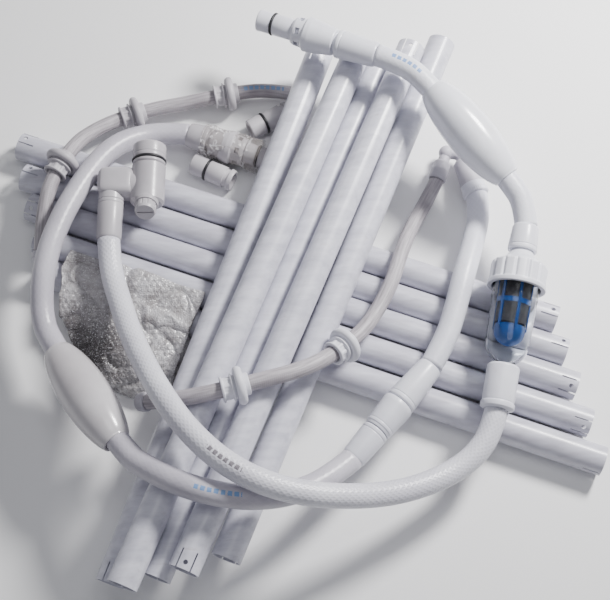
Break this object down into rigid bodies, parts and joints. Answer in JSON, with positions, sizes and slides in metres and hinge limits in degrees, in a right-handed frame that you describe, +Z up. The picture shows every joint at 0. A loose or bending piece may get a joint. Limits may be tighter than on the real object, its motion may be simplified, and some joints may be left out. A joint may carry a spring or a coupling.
{
  "type": "pool cleaner hose kit",
  "caption": "Feed hose kit of a pressure-side pool cleaner: floats, swivel, inline filter, wall elbow and sweep hoses lying on crossed rigid tubes.",
  "frame": {"origin": "on the floor, under the middle of the heap measured without its hoses", "axes": "+Z up, +X to the right and +Y away from a viewer who stands at the heap's front; the top tubes run roughly along +Y"},
  "size_m": [0.7525, 0.7464, 0.1588],
  "materials": {
    "rigid_tube": "satin extruded plastic",
    "feed_hose": "soft vinyl, reinforced",
    "sweep_hose": "soft translucent vinyl",
    "float_shell": "glossy blown plastic",
    "wear_ring": "soft plastic",
    "seal_rubber": "smooth",
    "clear_bowl": "clear",
    "basket": "moulded",
    "mesh": "woven mesh",
    "steel": "plain",
    "grey_fitting": "moulded",
    "bubble_wrap": "bubble film",
    "white_fitting": "moulded"
  },
  "bodies": {
    "kit": {"elbow_body": "white_fitting", "elbow_hose_nut": "white_fitting", "filter_bowl": "clear_bowl", "filter_cap": "white_fitting", "filter_inlet_nut": "white_fitting", "filter_outlet_nut": "white_fitting", "filter_seal": "seal_rubber", "floor_tube_1": "rigid_tube", "floor_tube_2": "rigid_tube", "floor_tube_3": "rigid_tube", "floor_tube_4": "rigid_tube", "floor_tube_5": "rigid_tube", "hose_left": "feed_hose", "hose_outer": "feed_hose", "hose_right": "feed_hose", "hose_top": "feed_hose", "left_hose_nut": "white_fitting", "left_swivel_barrel": "white_fitting", "reducer_body": "grey_fitting", "reducer_hose_nut": "white_fitting", "relief_spring": "steel", "spare_nipples": "white_fitting", "spare_seals": "seal_rubber", "strainer_basket": "basket", "strainer_mesh": "mesh", "sweep_cuffs": "grey_fitting", "sweep_elbow": "grey_fitting", "sweep_hose_a": "sweep_hose", "sweep_hose_b": "sweep_hose", "swivel_balls": "steel", "swivel_lower_nut": "white_fitting", "swivel_lower_spool": "white_fitting", "swivel_upper_nut": "white_fitting", "swivel_upper_spool": "white_fitting", "top_hose_nut": "white_fitting", "top_swivel_barrel": "white_fitting", "top_tube_1": "rigid_tube", "top_tube_2": "rigid_tube", "top_tube_3": "rigid_tube", "top_tube_4": "rigid_tube", "top_tube_5": "rigid_tube", "wrapped_pack": "bubble_wrap"},
    "top_plug": {"top_nipple": "white_fitting", "top_nipple_seal": "seal_rubber"},
    "left_plug": {"left_nipple": "white_fitting", "left_nipple_seal": "seal_rubber"},
    "swivel_shell": {"swivel_barrel": "white_fitting"},
    "clamp_ring": {"filter_collar": "white_fitting"},
    "wall_plug": {"wall_nipple": "white_fitting", "wall_nipple_seal": "seal_rubber"},
    "relief_adjuster": {"relief_knob": "white_fitting"},
    "relief_valve": {"relief_poppet": "white_fitting"},
    "upper_hose_float": {"upper_float": "float_shell"},
    "lower_hose_float": {"lower_float": "float_shell"},
    "hose_ring_1": {"wear_ring_1": "wear_ring"},
    "hose_ring_2": {"wear_ring_2": "wear_ring"},
    "hose_ring_3": {"wear_ring_3": "wear_ring"},
    "hose_ring_4": {"wear_ring_4": "wear_ring"},
    "hose_ring_5": {"wear_ring_5": "wear_ring"}
  },
  "joints": [
    {"name": "top_plug_spin", "type": "hinge", "parent": "kit", "child": "top_plug", "pos_m": [-0.052, 0.359, 0.098], "axis": [0.9134, -0.3906, 0.1142], "continuous": true},
    {"name": "left_plug_spin", "type": "hinge", "parent": "kit", "child": "left_plug", "pos_m": [-0.0365, 0.192, 0.0215], "axis": [-0.9479, 0.3174, 0.0257], "continuous": true},
    {"name": "swivel_spin", "type": "hinge", "parent": "kit", "child": "swivel_shell", "pos_m": [0.112, -0.1615, 0.0615], "axis": [0.6397, 0.7663, -0.06], "continuous": true},
    {"name": "clamp_ring_turn", "type": "hinge", "parent": "kit", "child": "clamp_ring", "pos_m": [0.277, 0.039, 0.0755], "axis": [-0.1997, -0.9784, -0.0532], "range_deg": [0, 60]},
    {"name": "wall_plug_spin", "type": "hinge", "parent": "kit", "child": "wall_plug", "pos_m": [-0.192, 0.108, 0.066], "axis": [0, 1, 0], "continuous": true},
    {"name": "relief_adjuster_turn", "type": "hinge", "parent": "kit", "child": "relief_adjuster", "pos_m": [-0.192, 0.12, 0.068], "axis": [0, -0.9135, 0.4067], "range_deg": [-120, 120]},
    {"name": "relief_lift", "type": "slide", "parent": "kit", "child": "relief_valve", "axis": [0, -0.9135, 0.4067], "range_m": [0, 0.003], "stiffness_N_per_m": 400, "springref_m": -0.004, "deforming": ["relief_spring"]},
    {"name": "upper_float_spin", "type": "hinge", "parent": "kit", "child": "upper_hose_float", "pos_m": [0.2155, 0.19085, 0.10175], "axis": [0.6254, -0.7624, -0.1662], "continuous": true},
    {"name": "lower_float_spin", "type": "hinge", "parent": "kit", "child": "lower_hose_float", "pos_m": [-0.251, -0.1465, 0.0805], "axis": [0.5636, -0.8028, 0.1946], "continuous": true},
    {"name": "wear_ring_1_spin", "type": "hinge", "parent": "kit", "child": "hose_ring_1", "pos_m": [0.056, -0.0835, 0.0785], "axis": [-0.6756, -0.6295, 0.3838], "continuous": true},
    {"name": "wear_ring_2_spin", "type": "hinge", "parent": "kit", "child": "hose_ring_2", "pos_m": [-0.067, -0.1455, 0.12], "axis": [-0.9629, -0.2675, 0.0357], "continuous": true},
    {"name": "wear_ring_3_spin", "type": "hinge", "parent": "kit", "child": "hose_ring_3", "pos_m": [-0.093, 0.2905, 0.024], "axis": [-0.9799, -0.1996, 0], "continuous": true},
    {"name": "wear_ring_4_spin", "type": "hinge", "parent": "kit", "child": "hose_ring_4", "pos_m": [-0.2175, 0.2595, 0.026], "axis": [-0.9297, -0.3605, 0.0759], "continuous": true},
    {"name": "wear_ring_5_spin", "type": "hinge", "parent": "kit", "child": "hose_ring_5", "pos_m": [-0.305, 0.173, 0.05725], "axis": [-0.4164, -0.9022, 0.1128], "continuous": true}
  ]
}
